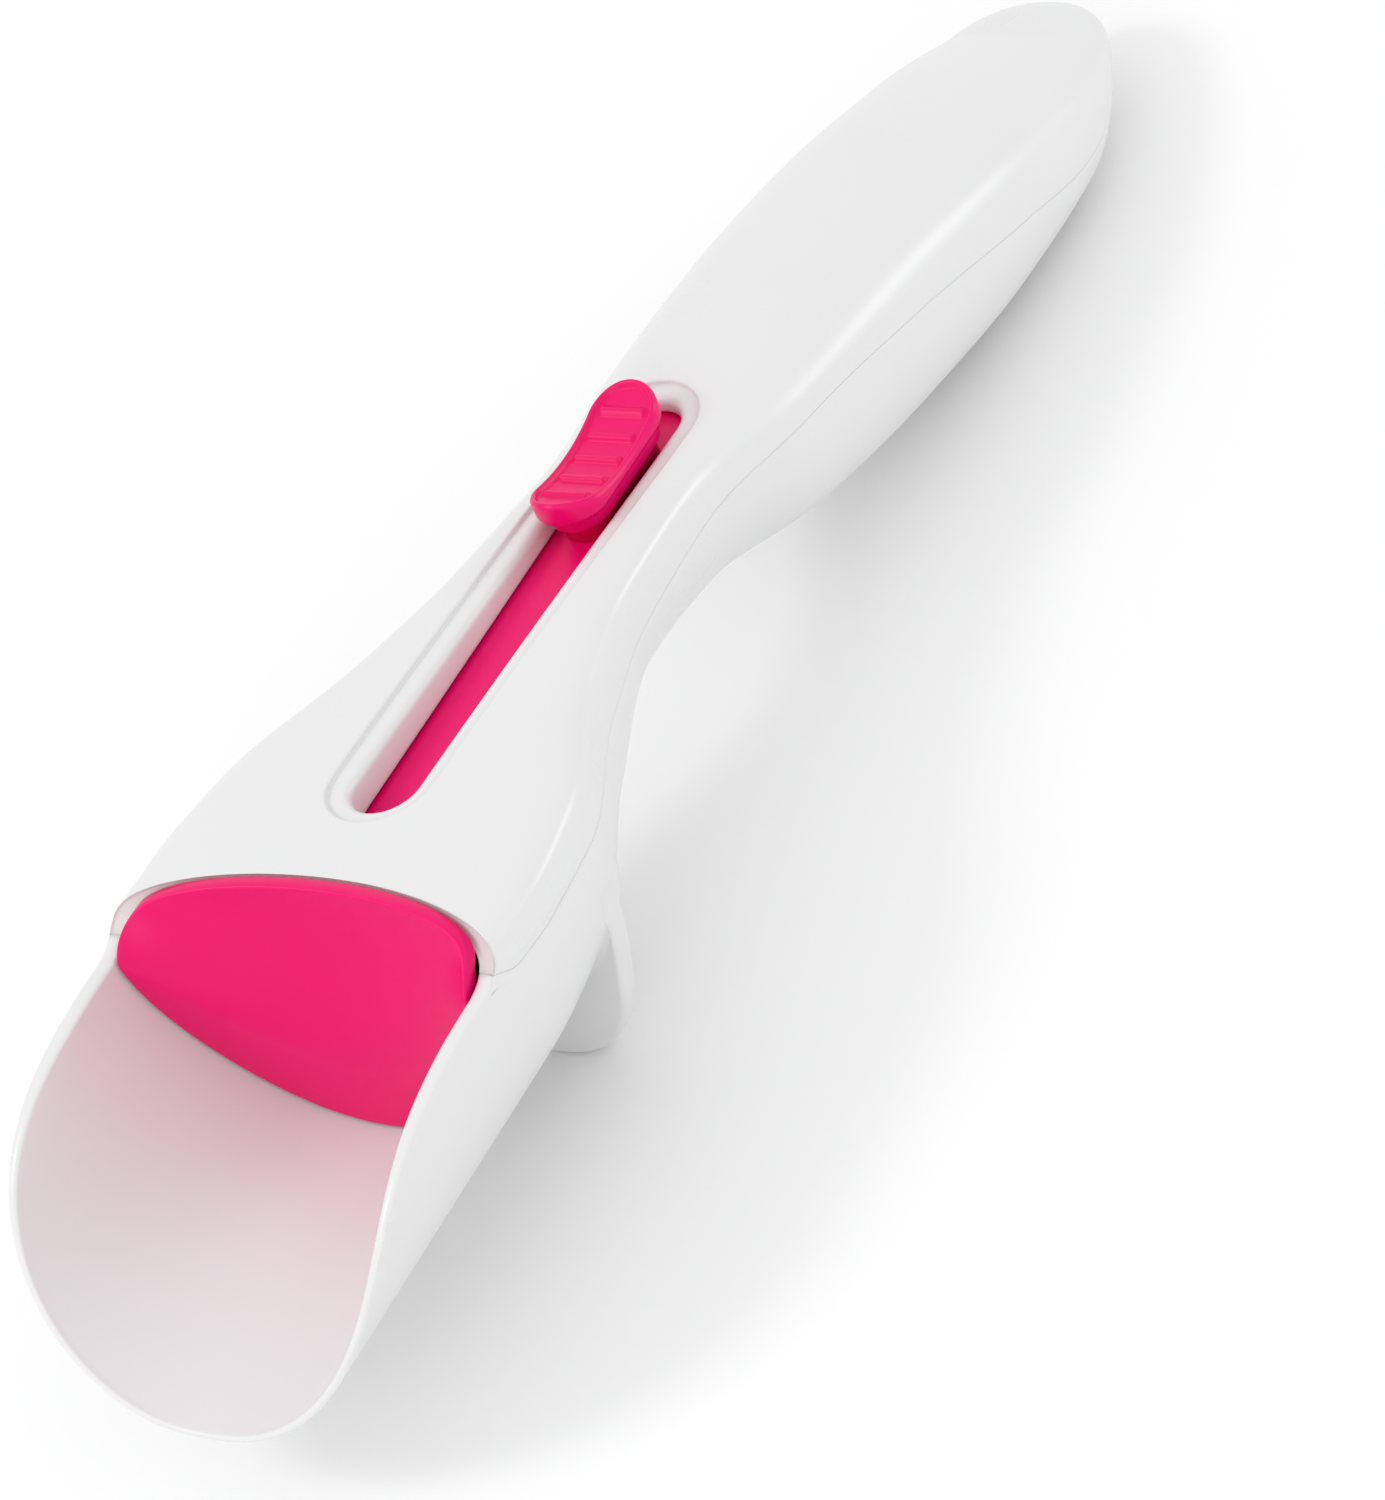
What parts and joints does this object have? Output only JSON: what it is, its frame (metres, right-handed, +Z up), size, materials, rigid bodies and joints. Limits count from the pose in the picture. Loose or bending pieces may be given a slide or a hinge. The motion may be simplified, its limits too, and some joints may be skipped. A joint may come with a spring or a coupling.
{
  "type": "batter scoop",
  "caption": "Hand-held batter scoop: an open trough with a pusher plate that a thumb button slides forward to empty it, on a small rest foot.",
  "frame": {"origin": "bottom centre of the bounding box, on the surface that the scoop rests on", "axes": "+X along the tool from the tip of the scoop to the end of the handle, +Z up, +Y to the left when looking along +X"},
  "size_m": [0.2404, 0.0546, 0.0468],
  "materials": {
    "white_plastic": "glossy moulded white plastic",
    "pink_plastic": "semi-gloss moulded hot pink plastic"
  },
  "bodies": {
    "scoop_body": {"lower_shell": "white_plastic", "upper_shell": "white_plastic"},
    "slider": {"pusher_plate": "pink_plastic", "slide_bar": "pink_plastic", "thumb_button": "pink_plastic"}
  },
  "joints": [
    {"name": "pusher_slide", "type": "slide", "parent": "scoop_body", "child": "slider", "axis": [-0.9979, 0, 0.0652], "range_m": [0, 0.046]}
  ]
}
